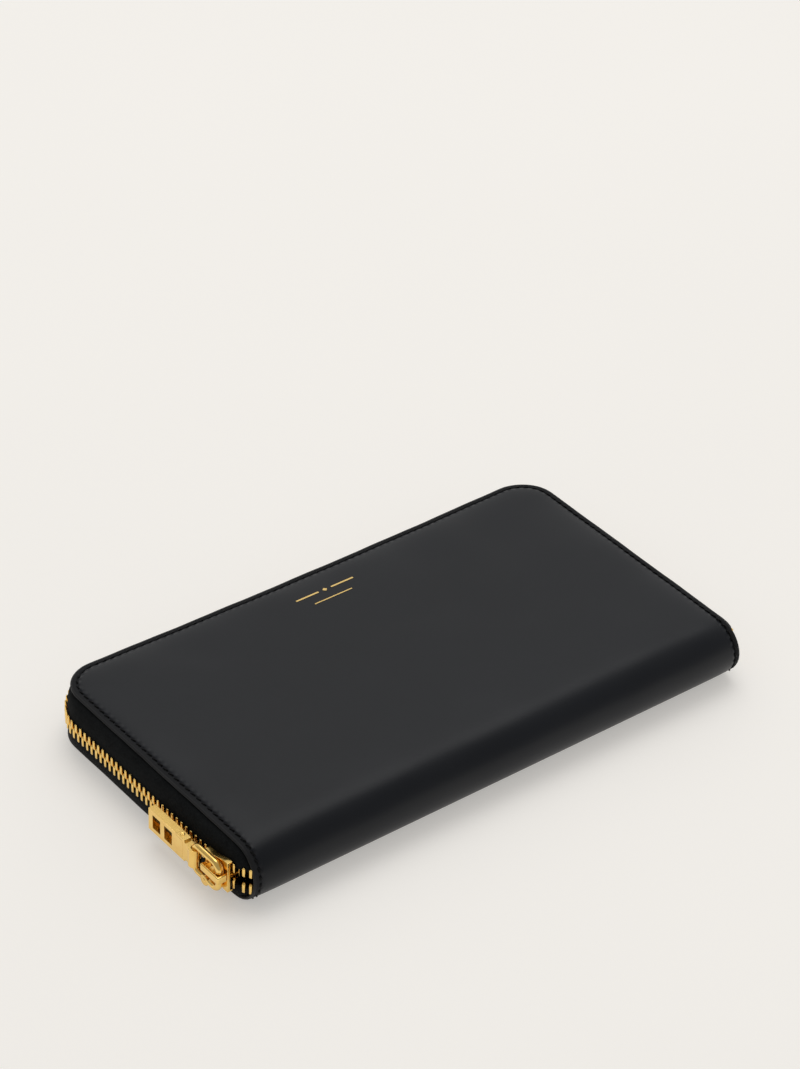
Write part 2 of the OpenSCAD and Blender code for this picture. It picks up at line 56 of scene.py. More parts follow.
def corners(node):
    """Lowest and highest corner of a CAD node, in millimetres."""
    low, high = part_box(node)
    return Vector(low) / MM, Vector(high) / MM


# ---------------- sizes from the frame
cover_low, cover_high = corners("lower_cover")
EDGE_X, EDGE_Y, BACK_Y = cover_high.x, cover_high.y, cover_low.y
THICK = corners("upper_cover")[1].z
MID_Z = THICK / 2
SPINE_R = THICK / 2
SPINE_Y = BACK_Y + SPINE_R
CORNER_R = 13.1
# the chain runs along three sides with round corners, and tucks in at the spine's two ends
TOOTH_HALF = 1.2
teeth_high = corners("lower_zip_teeth")[1]
CHAIN_X = teeth_high.x - TOOTH_HALF
CHAIN_Y = teeth_high.y - TOOTH_HALF
CHAIN_R = 19.0
TURN_X, TURN_Y = CHAIN_X - CHAIN_R, CHAIN_Y - CHAIN_R
TUCK_Y, TUCK_R, TUCK_ANGLE = -44.0, 12.0, 40.0
TOOTH_PITCH = 2.5
STITCH_INSET, STITCH_PITCH, STITCH_R = 2.2, 2.9, 0.27
# the parted rows: how far each ends up from the middle, where they begin to part and over what length
SPREAD, MOUTH, PARTING = 1.7, 1.5, 7
body_low, body_high = corners("slider_body")
SLIDER_Y = (body_low.y + body_high.y) / 2

# camera: direction and roll in degrees, distance and offsets, and its lens
CAM_AZIMUTH, CAM_ELEVATION, CAM_ROLL = -39.03, 35.54, 2.19
CAM_DISTANCE, CAM_RIGHT, CAM_UP = 1136.0, -2.2, 54.5
CAM_LENS, SENSOR = 118.9, 36.0

# the studio is darker at the front left and brighter along WORLD_AXIS, to the back right
WORLD_FRONT, WORLD_BACK = 0.36, 0.75
WORLD_AXIS = (0.7, 0.71, 0.0)
# the floor also glows a little, as a light table does, which keeps the contact shadow pale
FLOOR_TONE, FLOOR_GLOW = (0.722, 0.703, 0.673), 0.52
# the large soft light overhead: place and size in metres, power in watts
KEY_AT, KEY_SIZE, KEY_POWER = (0.7, 0.8, 2.7), (2.2, 2.2), 24.0


# ---------------- materials
class Nodes:
    """A small helper that writes a material's node tree."""

    def __init__(self, name):
        self.mat = bpy.data.materials.new(name)
        self.mat.use_nodes = True
        self.tree = self.mat.node_tree
        self.bsdf = self.tree.nodes["Principled BSDF"]

    def add(self, kind, **values):
        node = self.tree.nodes.new(kind)
        for key, value in values.items():
            if key in node.inputs.keys():
                node.inputs[key].default_value = value
            else:
                setattr(node, key, value)
        return node

    def link(self, out, into):
        self.tree.links.new(out, into)

    def put(self, **values):
        for key, value in values.items():
            self.bsdf.inputs[key.replace("_", " ")].default_value = value

    def math(self, operation, a, b=None):
        node = self.tree.nodes.new("ShaderNodeMath")
        node.operation = operation
        for i, value in enumerate((a, b)):
            if value is None:
                continue
            if isinstance(value, (int, float)):
                node.inputs[i].default_value = value
            else:
                self.link(value, node.inputs[i])
        return node.outputs[0]

    def noise(self, scale, detail=2.0, rough=0.5):
        node = self.add("ShaderNodeTexNoise", Scale=scale, Detail=detail, Roughness=rough)
        self.link(self.coords(), node.inputs["Vector"])
        return node.outputs["Fac"]

    def voronoi(self, scale, feature="F1"):
        node = self.add("ShaderNodeTexVoronoi", feature=feature)
        node.inputs["Scale"].default_value = scale
        self.link(self.coords(), node.inputs["Vector"])
        return node.outputs["Distance"]

    def coords(self):
        if not hasattr(self, "_coords"):
            self._coords = self.add("ShaderNodeTexCoord").outputs["Object"]
        return self._coords

    def uv(self):
        if not hasattr(self, "_uv"):
            node = self.add("ShaderNodeUVMap")
            split = self.add("ShaderNodeSeparateXYZ")
            self.link(node.outputs[0], split.inputs[0])
            self._uv = (split.outputs[0], split.outputs[1])
        return self._uv

    def ramp(self, value, stops):
        node = self.tree.nodes.new("ShaderNodeValToRGB")
        elements = node.color_ramp.elements
        while len(elements) < len(stops):
            elements.new(0.5)
        for element, (place, colour) in zip(elements, stops):
            element.position = place
            element.color = (*colour, 1.0)
        self.link(value, node.inputs[0])
        return node.outputs[0]

    def bump(self, height, strength, distance, previous=None):
        node = self.add("ShaderNodeBump", Strength=strength, Distance=distance)
        self.link(height, node.inputs["Height"])
        if previous is not None:
            self.link(previous, node.inputs["Normal"])
        return node.outputs[0]

    def finish(self, colour, roughness, normal=None):
        for value, name in ((colour, "Base Color"), (roughness, "Roughness"), (normal, "Normal")):
            if value is not None:
                self.link(value, self.bsdf.inputs[name])
        return self.mat


def spread_value(n, value, low, high):
    """Maps 0..1 to low..high."""
    return n.math("ADD", n.math("MULTIPLY", value, high - low), low)


def cover_leather():
    """Smooth satin calf leather: fine pores, faint clouding, and puckers along the stitch line."""
    n = Nodes("cover_leather")
    clouds = n.noise(14.0, 3.0, 0.55)
    pores = n.voronoi(2600.0)
    grain = n.noise(3800.0, 3.0, 0.6)
    wrinkle = n.noise(420.0, 4.0, 0.6)
    colour = n.ramp(clouds, [(0.3, (0.0049, 0.0062, 0.0092)), (0.7, (0.0071, 0.0087, 0.0126))])
    rough = spread_value(n, grain, 0.33, 0.45)
    along, across = n.uv()
    # each stitch draws the leather in: shallow dimples that fade out 1.6 mm from the line
    fade = 0.62
    distance = n.math("ABSOLUTE", n.math("SUBTRACT", across, STITCH_INSET))
    near = n.math("MAXIMUM", n.math("SUBTRACT", 1.0, n.math("MULTIPLY", distance, fade)), 0.0)
    beat = n.math("SINE", n.math("MULTIPLY", along, 2 * math.pi / STITCH_PITCH))
    pucker = n.math("MULTIPLY", near, beat)
    # the panels undulate slowly under the finer grain
    normal = n.bump(n.noise(22.0, 1.0), 0.6, 0.004)
    normal = n.bump(pucker, 0.45, 0.0003, normal)
    normal = n.bump(wrinkle, 0.10, 0.00012, normal)
    normal = n.bump(pores, 0.16, 0.00006, normal)
    normal = n.bump(grain, 0.10, 0.00004, normal)
    n.put(Specular_IOR_Level=0.22, Coat_Weight=0.04, Coat_Roughness=0.3, Coat_IOR=1.45)
    return n.finish(colour, rough, normal)


def edge_paint():
    """Painted cut edge of the leather, a little greyer than its face."""
    n = Nodes("edge_paint")
    ripples = n.noise(500.0, 2.0)
    colour = n.ramp(n.noise(60.0), [(0.35, (0.010, 0.0102, 0.011)), (0.7, (0.015, 0.0152, 0.016))])
    n.put(Specular_IOR_Level=0.22)
    return n.finish(colour, spread_value(n, ripples, 0.42, 0.54), n.bump(ripples, 0.2, 0.0001))


def lip_leather():
    """Turned leather outside the stitches: creased, drier and less glossy than the panels."""
    n = Nodes("lip_leather")
    grain = n.noise(2200.0, 4.0, 0.6)
    creases = n.noise(240.0, 3.0, 0.6)
    colour = n.ramp(n.noise(40.0), [(0.3, (0.0165, 0.017, 0.0185)), (0.7, (0.0235, 0.0243, 0.026))])
    normal = n.bump(creases, 0.25, 0.00025)
    normal = n.bump(grain, 0.15, 0.00005, normal)
    n.put(Specular_IOR_Level=0.06)
    return n.finish(colour, spread_value(n, grain, 0.6, 0.72), normal)


def lining_leather():
    """Matt grained lining leather."""
    n = Nodes("lining_leather")
    cells = n.voronoi(1300.0, "DISTANCE_TO_EDGE")
    fine = n.noise(2500.0, 3.0)
    colour = n.ramp(n.noise(30.0, 3.0), [(0.3, (0.016, 0.0155, 0.015)), (0.7, (0.023, 0.022, 0.0215))])
    normal = n.bump(cells, 0.35, 0.00012)
    normal = n.bump(fine, 0.15, 0.00005, normal)
    n.put(Specular_IOR_Level=0.4)
    return n.finish(colour, spread_value(n, fine, 0.48, 0.66), normal)


def fibre_board():
    """Pressed fibre board behind the leather."""
    n = Nodes("fibre_board")
    fibres = n.noise(900.0, 6.0, 0.7)
    colour = n.ramp(fibres, [(0.3, (0.045, 0.042, 0.038)), (0.7, (0.075, 0.07, 0.064))])
    return n.finish(colour, spread_value(n, fibres, 0.8, 0.95), n.bump(fibres, 0.4, 0.0001))


def zip_tape():
    """Black woven tape: a fine herringbone of slanted yarns under a short nap."""
    n = Nodes("zip_tape")
    along, across = n.uv()
    rib, yarn = 2.2, 0.5
    zigzag = n.math("PINGPONG", across, rib)
    twill = n.math("SINE", n.math("MULTIPLY", n.math("ADD", along, zigzag), 2 * math.pi / yarn))
    weave = n.math("ADD", n.math("MULTIPLY", twill, 0.5), 0.5)
    fuzz = n.noise(1300.0, 4.0, 0.7)
    patches = n.noise(260.0, 3.0)
    mixed = n.math("ADD", n.math("MULTIPLY", weave, 0.35), n.math("MULTIPLY", fuzz, 0.5))
    mixed = n.math("ADD", mixed, n.math("MULTIPLY", patches, 0.2))
    colour = n.ramp(mixed, [(0.30, (0.0010, 0.0012, 0.0013)), (0.72, (0.0150, 0.0164, 0.0172))])
    normal = n.bump(weave, 0.5, 0.00012)
    normal = n.bump(fuzz, 0.6, 0.00025, normal)
    n.put(Specular_IOR_Level=0.05, Sheen_Weight=0.01, Sheen_Roughness=0.4)
    return n.finish(colour, spread_value(n, fuzz, 0.75, 0.92), normal)


def thread():
    """Waxed thread: twisted yarns."""
    n = Nodes("thread")
    wave = n.add("ShaderNodeTexWave", Scale=900.0, Distortion=2.0)
    wave.bands_direction = "DIAGONAL"
    n.link(n.coords(), wave.inputs["Vector"])
    yarns = wave.outputs["Fac"]
    colour = n.ramp(yarns, [(0.2, (0.0015, 0.0015, 0.0018)), (0.9, (0.006, 0.0062, 0.007))])
    n.put(Specular_IOR_Level=0.15)
    return n.finish(colour, spread_value(n, yarns, 0.5, 0.7), n.bump(yarns, 0.4, 0.0001))


def gold_metal():
    """Polished gold plating with a faint orange-peel and hairline wear."""
    n = Nodes("gold_metal")
    peel = n.noise(260.0, 2.0)
    wear = n.noise(1400.0, 5.0, 0.65)
    colour = n.ramp(peel, [(0.3, (0.90, 0.58, 0.165)), (0.7, (0.97, 0.67, 0.215))])
    normal = n.bump(peel, 0.12, 0.0001)
    normal = n.bump(wear, 0.05, 0.00002, normal)
    n.put(Metallic=1.0)
    return n.finish(colour, spread_value(n, wear, 0.10, 0.22), normal)


def gold_foil():
    """Stamped foil: slightly broken, satin gold."""
    n = Nodes("gold_foil")
    speck = n.noise(3000.0, 4.0, 0.7)
    colour = n.ramp(speck, [(0.25, (0.62, 0.42, 0.14)), (0.6, (0.95, 0.68, 0.26))])
    n.put(Metallic=0.9)
    return n.finish(colour, spread_value(n, speck, 0.28, 0.45), n.bump(speck, 0.3, 0.00003))


LEATHER, EDGE, LIP = cover_leather(), edge_paint(), lip_leather()
LINING, BOARD = lining_leather(), fibre_board()
TAPE, THREAD, GOLD, FOIL = zip_tape(), thread(), gold_metal(), gold_foil()


# ---------------- mesh helpers
def make(name, points, faces, material, uvs=None):
    """A mesh object from points in millimetres. uvs holds one pair per point."""
    mesh = bpy.data.meshes.new(name)
    mesh.from_pydata([tuple(c * MM for c in p) for p in points], [], faces)
    mesh.update()
    if uvs is not None:
        layer = mesh.uv_layers.new(name="UVMap")
        index = np.zeros(len(mesh.loops), int)
        mesh.loops.foreach_get("vertex_index", index)
        layer.data.foreach_set("uv", np.array(uvs, np.float32)[index].ravel())
    mesh.shade_smooth()
    for m in material if isinstance(material, (list, tuple)) else [material]:
        mesh.materials.append(m)
    piece = bpy.data.objects.new(name, mesh)
    bpy.context.scene.collection.objects.link(piece)
    return piece


def apply_modifiers(piece):
    """Bakes the piece's modifiers into its mesh."""
    graph = bpy.context.evaluated_depsgraph_get()
    mesh = bpy.data.meshes.new_from_object(piece.evaluated_get(graph))
    piece.modifiers.clear()
    piece.data = mesh
    return piece


def subdivide(piece):
    """Halves the faces of a piece and smooths it."""
    modifier = piece.modifiers.new("smooth", "SUBSURF")
    modifier.levels = modifier.render_levels = 1
    return apply_modifiers(piece)


def bevel(piece, width, segments, angle):
    """Rounds the edges of a piece and keeps its flats flat."""
    modifier = piece.modifiers.new("round", "BEVEL")
    modifier.width = width * MM
    modifier.segments = segments
    modifier.limit_method = "ANGLE"
    modifier.angle_limit = math.radians(angle)
    modifier.harden_normals = False
    modifier.use_clamp_overlap = True
    apply_modifiers(piece)
    piece.data.shade_smooth()
    normals = piece.modifiers.new("normals", "WEIGHTED_NORMAL")
    normals.keep_sharp = False
    normals.weight = 100
    return apply_modifiers(piece)


def settle(piece, body, slot, *nodes):
    """Attaches the piece to the named body, if one is given, and hides the CAD nodes that it stands for. The
    slot argument is not used.
    """
    if body:
        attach(piece, body)
    if nodes:
        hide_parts(*nodes)
    return piece


def grid_faces(rows, columns, flip=False):
    """Quads of a grid of points, row by row."""
    faces = []
    for r in range(rows - 1):
        for c in range(columns - 1):
            a = r * columns + c
            quad = (a, a + 1, a + columns + 1, a + columns)
            faces.append(quad[::-1] if flip else quad)
    return faces


def extrude_outline(outline, depth):
    """Points and faces of a closed outline in the XY plane, extruded from z = 0 to depth."""
    n = len(outline)
    points = [(x, y, 0.0) for x, y in outline] + [(x, y, depth) for x, y in outline]
    faces = [tuple(range(n))[::-1], tuple(range(n, 2 * n))]
    faces += [(i, (i + 1) % n, n + (i + 1) % n, n + i) for i in range(n)]
    return points, faces


def rounded_rect(hx, hy, r, steps):
    """Outline of a rectangle with round corners, anticlockwise."""
    outline = []
    for k, (sx, sy) in enumerate(((1, 1), (-1, 1), (-1, -1), (1, -1))):
        for i in range(steps + 1):
            a = math.radians(90 * k + 90 * i / steps)
            outline.append((sx * (hx - r) + r * math.cos(a), sy * (hy - r) + r * math.sin(a)))
    return outline


def merge(parts):
    """Joins several (points, faces) into one."""
    points, faces = [], []
    for p, f in parts:
        base = len(points)
        points += list(p)
        faces += [tuple(base + i for i in face) for face in f]
    return points, faces


def moved(part, matrix):
    """The same (points, faces) with its points transformed."""
    points, faces = part
    return [tuple(matrix @ Vector(p)) for p in points], faces


def place(x=0.0, y=0.0, z=0.0, turn=0.0, tilt=0.0):
    """Matrix that tilts about X, then turns about Z, then moves. Angles are in degrees."""
    return (Matrix.Translation((x, y, z)) @ Matrix.Rotation(math.radians(turn), 4, "Z")
            @ Matrix.Rotation(math.radians(tilt), 4, "X"))


def smoothstep(a, b, x):
    t = min(1.0, max(0.0, (x - a) / (b - a)))
    return t * t * (3 - 2 * t)


def tube_faces(rings, sides, closed=False):
    """Quads between one ring of points and the next, and from the last to the first when closed."""
    faces = []
    for i in range(rings if closed else rings - 1):
        a, b = i * sides, (i + 1) % rings * sides
        faces += [(a + k, a + (k + 1) % sides, b + (k + 1) % sides, b + k) for k in range(sides)]
    return faces


def round_bar(path, radius, sides):
    """Points and faces of a closed round bar along a path in the XY plane."""
    n = len(path)
    points = []
    for i, (x, y) in enumerate(path):
        before, after = path[i - 1], path[(i + 1) % n]
        heading = math.atan2(after[1] - before[1], after[0] - before[0])
        across = (-math.sin(heading), math.cos(heading))
        for k in range(sides):
            a = 2 * math.pi * k / sides
            c, s = math.cos(a), math.sin(a)
            points.append((x + across[0] * radius * c, y + across[1] * radius * c, radius * s))
    return points, tube_faces(n, sides, closed=True)


# ---------------- the covers' developed sheet
TOP_RUN = EDGE_Y - SPINE_Y
ARC_RUN = math.pi * SPINE_R
SHEET_LEN = 2 * TOP_RUN + ARC_RUN
HALF_LEN = SHEET_LEN / 2
# the panels' height above the CAD face, and the depth of the lip outside the stitches
PANEL_RISE = 0.62
LIP_DROP, LOWER_LIP_DROP = 0.68, 0.12
# how much further out the lower cover's free edges reach
LOWER_SPREAD = 0.9
LEATHER_T = 1.25
# the rounded turn of the edge
TURN_WIDTH, TURN_DROP = 1.35, 0.6
SAG = 1.25
# the groove along the stitches, and the distance in which the panel swells up from it
GROOVE_DEPTH, GROOVE_WIDTH, SWELL = 0.36, 0.3, 4.2


def sag(x, y):
    """How far the upper cover's long free edge sinks between its corners."""
    return SAG * (1 - (x / EDGE_X) ** 2) * smoothstep(0.0, EDGE_Y, y)


# the lining's height in the sheet, and how many rings of faces are painted edge and turned lip
LINING_OUT, LINING_T = -2.2, 0.5
EDGE_RINGS, LIP_RINGS = 3, 9


def lower_share(s):
    """0 on the upper cover, 1 on the lower one."""
    return smoothstep(TOP_RUN, TOP_RUN + ARC_RUN, s)


def wrap(x, s, h):
    """Place of a point of the sheet: x along the spine, s from the upper free edge round to the lower one.

    h is its height outwards from the sheet.
    """
    x *= 1 + LOWER_SPREAD / EDGE_X * lower_share(s)
    if s < TOP_RUN:
        y = EDGE_Y - s
        return (x, y, THICK + h - sag(x, y))
    if s < TOP_RUN + ARC_RUN:
        a = (s - TOP_RUN) / SPINE_R
        return (x, SPINE_Y - (SPINE_R + h) * math.sin(a), MID_Z + (SPINE_R + h) * math.cos(a))
    reach = (s - TOP_RUN - ARC_RUN) / TOP_RUN
    return (x, SPINE_Y + reach * (TOP_RUN + LOWER_SPREAD), -h)


def rise(s):
    """Panels stand a little proud on top and are flat where they rest."""
    return PANEL_RISE * (1 - smoothstep(TOP_RUN * 0.85, TOP_RUN + ARC_RUN * 0.4, s))


def lip_drop(s):
    """How far the edge outside the stitches lies below the panel's plane."""
    return LIP_DROP + (LOWER_LIP_DROP - LIP_DROP) * lower_share(s)


def outer_height(d, s):
    """Height of the outer face at distance d from the cut edge."""
    lip = -lip_drop(s)
    turned = max(0.0, 1 - max(0.0, d) / TURN_WIDTH)
    lip -= TURN_DROP * (1 - math.sqrt(1 - turned ** 2))
    groove = -GROOVE_DEPTH * math.exp(-((d - STITCH_INSET) / GROOVE_WIDTH) ** 2)
    swell = (rise(s) + lip_drop(s)) * (1 - math.exp(-max(0.0, d - STITCH_INSET - 0.1) / SWELL))
    return lip + groove + swell


def inner_height(d, s):
    """Height of the inner face, which rises to the outer one at the cut edge."""
    inner = -lip_drop(s) - LEATHER_T
    return inner + 0.4 * (1 - smoothstep(0.0, 0.6, d))


# distances from the cut edge at which the cover's mesh has a row of points, closest at the stitch line
EDGE_STEPS = (0.0, 0.1, 0.3, 0.65, 1.1, 1.55, 1.8, 1.97, 2.1, 2.2, 2.3, 2.43, 2.65, 3.0, 3.5, 4.2, 5.2,
              6.6, 8.6, 10.6, 13.1)


def spaced(half, steps, corner):
    """Coordinates from -half to half: fine at both edges, about 4 mm apart between."""
    inside = half - corner
    count = int(round(2 * inside / 4.0))
    middle = [-inside + 2 * inside * i / count for i in range(1, count)]
    return [-half + d for d in steps] + middle + [half - d for d in reversed(steps)]


def sheet_point(a, b, hx, hb, corner, inset):
    """Maps a square grid on to a sheet with round corners.

    Gives x, b, the distance to the edge and the length along it.
    """
    ix, ib = hx - corner, hb - corner
    px, pb = abs(a) - ix, abs(b) - ib
    if px > 0 and pb > 0:
        m = max(px, pb)
        if m < 1e-9:
            return a, b, corner, 0.0
        angle = math.pi / 4 * (pb / px if pb <= px else 2 - px / pb)
        x, y = ix + m * math.cos(angle), ib + m * math.sin(angle)
        return math.copysign(x, a), math.copysign(y, b), corner - m, ib + angle * (corner - inset)
    d = min(hx - abs(a), hb - abs(b))
    turn = math.pi / 2 * (corner - inset)
    along = abs(b) if hx - abs(a) < hb - abs(b) else ib + turn + (ix - abs(a))
    return a, b, d, along


def close_sheet(rows, columns):
    """Faces of a grid sheet with an outer and an inner skin: outer, inner and rim."""
    total = rows * columns
    outer = grid_faces(rows, columns)
    inner = [tuple(total + i for i in face) for face in grid_faces(rows, columns, True)]
    ring = ([(0, c) for c in range(columns)] + [(r, columns - 1) for r in range(1, rows)]
            + [(rows - 1, c) for c in range(columns - 2, -1, -1)] + [(r, 0) for r in range(rows - 2, 0, -1)])
    index = [r * columns + c for r, c in ring]
    rim = []
    for i, here in enumerate(index):
        there = index[(i + 1) % len(index)]
        rim.append((there, here, total + here, total + there))
    return outer, inner, rim


def outward(piece, weld=False):
    """Makes every face of a closed piece face outwards, and welds its doubled points first if asked to."""
    work = bmesh.new()
    work.from_mesh(piece.data)
    if weld:
        bmesh.ops.remove_doubles(work, verts=work.verts, dist=1e-6)
    bmesh.ops.recalc_face_normals(work, faces=work.faces)
    work.to_mesh(piece.data)
    work.free()
    return piece


def wobble(along):
    """Slow unevenness of the turned edge, in millimetres."""
    return 0.07 * math.sin(along * 0.19 + 0.6) + 0.05 * math.sin(along * 0.47 + 2.0)


def leather_cover():
    """Outer leather of both halves and the spine, with its painted edge and turned lip."""
    xs, bs = spaced(EDGE_X, EDGE_STEPS, CORNER_R), spaced(HALF_LEN, EDGE_STEPS, CORNER_R)
    rows, columns = len(bs), len(xs)
    # the lower edge wavers differently from the upper one, and the inner skin's UVs keep it clear of puckers
    other_side, fade, unstitched = 400, 6.0, -20.0
    points, uvs = [], []
    for inner in (False, True):
        for b in bs:
            for a in xs:
                x, bb, d, along = sheet_point(a, b, EDGE_X, HALF_LEN, CORNER_R, STITCH_INSET)
                s = bb + HALF_LEN
                height = inner_height(d, s) if inner else outer_height(d, s)
                height += wobble(along + other_side * (b > 0)) * max(0.0, 1 - d / fade)
                points.append(wrap(x, s, height))
                uvs.append((along, unstitched if inner else d))
    outer, inner, rim = close_sheet(rows, columns)
    piece = make("cover_leather", points, outer + inner + rim, [LEATHER, EDGE, LINING, LIP], uvs)
    for polygon in piece.data.polygons:
        i = polygon.index
        if i >= len(outer) + len(inner):
            polygon.material_index = 1
        elif i >= len(outer):
            polygon.material_index = 2
        else:
            r, c = divmod(i, columns - 1)
            ring = min(r, c, rows - 2 - r, columns - 2 - c)
            polygon.material_index = 1 if ring < EDGE_RINGS else 3 if ring < LIP_RINGS else 0
    return subdivide(outward(piece))


def spine_lining():
    """Lining of both halves in one sheet that runs round the spine under the cover."""
    steps = (0.0, 0.25, 0.8, 2.0, 5.0, 10.0)
    half_x, free, corner = 93.6, 43.5, 10.0
    half_b = HALF_LEN - (EDGE_Y - free)
    xs, bs = spaced(half_x, steps, corner), spaced(half_b, steps, corner)
    points, uvs = [], []
    for height in (LINING_OUT, LINING_OUT - LINING_T):
        for b in bs:
            for a in xs:
                x, bb, d, along = sheet_point(a, b, half_x, half_b, corner, 0.0)
                points.append(wrap(x, bb + HALF_LEN, height))
                uvs.append((along, d))
    outer, inner, rim = close_sheet(len(bs), len(xs))
    return outward(make("spine_lining", points, outer + inner + rim, LINING, uvs))


def board(upper):
    """Stiffening board of one half, bent with the cover that it backs."""
    low, high = corners("lower_board")
    corner = 9.0
    half_x, half_y, middle = high.x, (high.y - low.y) / 2, (high.y + low.y) / 2
    xs, ys = (spaced(half, (0.0, 0.5, 2.0, 5.0, corner), corner) for half in (half_x, half_y))
    points, uvs = [], []
    for z in (low.z, high.z):
        for b in ys:
            for a in xs:
                x, y, d, along = sheet_point(a, b, half_x, half_y, corner, 0.0)
                y += middle
                points.append((x, y, THICK - z - sag(x, y) if upper else z))
                uvs.append((along, d))
    outer, inner, rim = close_sheet(len(ys), len(xs))
    name = "upper" if upper else "lower"
    piece = outward(make(name + "_fibre_board", points, outer + inner + rim, BOARD, uvs))
    return settle(piece, name, "board", name + "_board")


def cover_stitches():
    """Every stitch of the covers: a short slanted thread that dips into the leather at both ends."""
    parts = []
    ix, ib = EDGE_X - STITCH_INSET, HALF_LEN - STITCH_INSET
    r = CORNER_R - STITCH_INSET
    side, turn, end = 2 * (ib - r), math.pi / 2 * r, 2 * (ix - r)
    total = 2 * (side + end) + 4 * turn
    count = int(round(total / STITCH_PITCH))
    pitch = total / count

    def at(t):
        """Point (x, b) at length t along the stitch line."""
        lengths = (end, turn, side, turn, end, turn, side, turn)
        t %= total
        k = 0
        while t > lengths[k]:
            t -= lengths[k]
            k += 1
        quarter = k // 2
        corner = ((ix - r, -ib + r), (ix - r, ib - r), (-ix + r, ib - r), (-ix + r, -ib + r))[quarter]
        if k % 2:
            a = -math.pi / 2 + quarter * math.pi / 2 + t / r
            return corner[0] + r * math.cos(a), corner[1] + r * math.sin(a)
        start = ((-ix + r, -ib), (ix, -ib + r), (ix - r, ib), (-ix, ib - r))[quarter]
        way = ((1, 0), (0, 1), (-1, 0), (0, -1))[quarter]
        return start[0] + way[0] * t, start[1] + way[1] * t

    sides, steps = 8, 7
    # a stitch's start and length as shares of the pitch, its skew, and its rise from how deep
    start, length, skew, crown, sunk = 0.17, 0.66, 0.7, 0.34, 0.30
    for i in range(count):
        rings = []
        for k in range(steps):
            f = k / (steps - 1)
            t = (i + start + length * f) * pitch
            x, b = at(t)
            x2, b2 = at(t + 0.01)
            way = Vector((x2 - x, b2 - b)).normalized()
            out = Vector((way.y, -way.x))
            slant = (f - 0.5) * skew
            x, b = x + out.x * slant, b + out.y * slant
            lift = crown * math.sin(math.pi * f) ** 0.6 - sunk
            s = b + HALF_LEN
            base = -lip_drop(s) + 0.02 - 0.2 * lower_share(s) + lift
            centre = Vector(wrap(x, s, base))
            up = (Vector(wrap(x, s, base + 1)) - centre).normalized()
            ahead = (Vector(wrap(x + way.x, s + way.y, base)) - centre).normalized()
            aside = up.cross(ahead).normalized()
            rings.append([centre + (aside * math.cos(q) + up * math.sin(q)) * STITCH_R
                          for q in (2 * math.pi * j / sides for j in range(sides))])
        points = [tuple(p) for ring in rings for p in ring]
        faces = tube_faces(steps, sides)
        faces += [tuple(range(sides))[::-1], tuple(range((steps - 1) * sides, steps * sides))]
        parts.append((points, faces))
    return make("cover_stitches", *merge(parts), THREAD)


# ---------------- main zip
def chain_stations():
    """Places along the chain from the left tuck to the right one.

    Each is x, y, outward x, outward y and the length so far.
    """
    stations, step = [], 2.0

    def arc(cx, cy, r, start, end):
        count = max(4, int(abs(math.radians(end - start)) * r / step))
        for i in range(count + 1):
            a = math.radians(start + (end - start) * i / count)
            stations.append((cx + r * math.cos(a), cy + r * math.sin(a), math.cos(a), math.sin(a)))

    def line(x0, y0, x1, y1, nx, ny):
        count = max(2, int(math.hypot(x1 - x0, y1 - y0) / step))
        for i in range(1, count):
            t = i / count
            stations.append((x0 + (x1 - x0) * t, y0 + (y1 - y0) * t, nx, ny))

    arc(-CHAIN_X + TUCK_R, TUCK_Y, TUCK_R, 180 + TUCK_ANGLE, 180)
    line(-CHAIN_X, TUCK_Y, -CHAIN_X, TURN_Y, -1, 0)
    arc(-TURN_X, TURN_Y, CHAIN_R, 180, 90)
    line(-TURN_X, CHAIN_Y, TURN_X, CHAIN_Y, 0, 1)
    arc(TURN_X, TURN_Y, CHAIN_R, 90, 0)
    line(CHAIN_X, TURN_Y, CHAIN_X, TUCK_Y, 1, 0)
    arc(CHAIN_X - TUCK_R, TUCK_Y, TUCK_R, 0, -TUCK_ANGLE)
    result, length = [], 0.0
    for i, st in enumerate(stations):
        if i:
            length += math.hypot(st[0] - stations[i - 1][0], st[1] - stations[i - 1][1])
        result.append((*st, length))
    return result


def row_spread(y):
    """How far each row stands from the middle: apart between the slider and the spine, closed beyond it."""
    w = y - SLIDER_Y
    return 0.0 if w > MOUTH else min(SPREAD, (MOUTH - w) * SPREAD / PARTING)


# middle of the tape's section: distance outwards from the chain, and height
TAPE_MIDDLE = ((-5.2, 2.05), (-3.8, 2.05), (-2.5, 2.1), (-1.4, 2.5), (-0.65, 3.4), (-0.2, 4.6), (0.05, 6.0),
               (0.1, 7.4), (0.0, 8.5))


